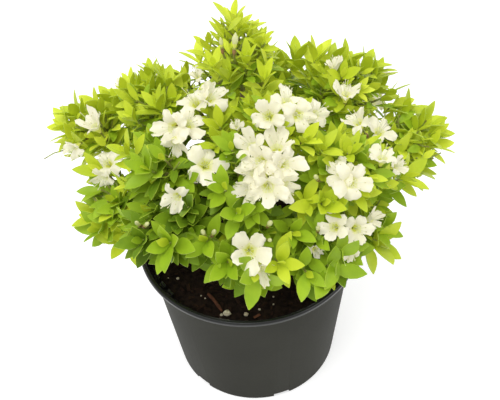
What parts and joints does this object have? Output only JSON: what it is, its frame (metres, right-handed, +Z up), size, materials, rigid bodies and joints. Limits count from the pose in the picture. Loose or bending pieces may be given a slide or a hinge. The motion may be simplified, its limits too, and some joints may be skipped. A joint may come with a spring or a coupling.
{
  "type": "potted azalea shrub",
  "caption": "Small evergreen shrub with a dense spreading crown of pointed leaves and white funnel-shaped blossoms, growing in a round tapering nursery pot of potting mix.",
  "frame": {"origin": "middle of the pot's flat underside, on the surface that it stands on", "axes": "+Z up, -Y towards the side seen in the picture, +X to that side's right"},
  "size_m": [0.3308, 0.2713, 0.3475],
  "materials": {
    "pot": "satin black",
    "soil": "rough, moist",
    "bark": "matt bark",
    "foliage": "soft leaf gloss"
  },
  "bodies": {
    "root": {"pot": "pot", "soil": "soil", "trunk": "bark", "bough_upper_front": "bark", "bough_upper_right": "bark", "bough_upper_back_right": "bark", "bough_upper_back": "bark", "bough_upper_back_left": "bark", "bough_upper_left": "bark", "bough_crest": "bark", "bough_top": "bark", "bough_middle": "bark", "bough_front": "bark", "bough_front_right": "bark", "bough_right_low": "bark", "bough_right_tip": "bark", "bough_back_right": "bark", "bough_back": "bark", "bough_back_left": "bark", "bough_left_tip": "bark", "bough_left_low": "bark", "bough_front_left": "bark", "foliage_upper_front": "foliage", "foliage_upper_right": "foliage", "foliage_upper_back_right": "foliage", "foliage_upper_back": "foliage", "foliage_upper_back_left": "foliage", "foliage_upper_left": "foliage", "foliage_crest": "foliage", "foliage_top": "foliage", "foliage_middle": "foliage", "foliage_front": "foliage", "foliage_front_right": "foliage", "foliage_right_low": "foliage", "foliage_right_tip": "foliage", "foliage_back_right": "foliage", "foliage_back": "foliage", "foliage_back_left": "foliage", "foliage_left_tip": "foliage", "foliage_left_low": "foliage", "foliage_front_left": "foliage"}
  },
  "joints": []
}
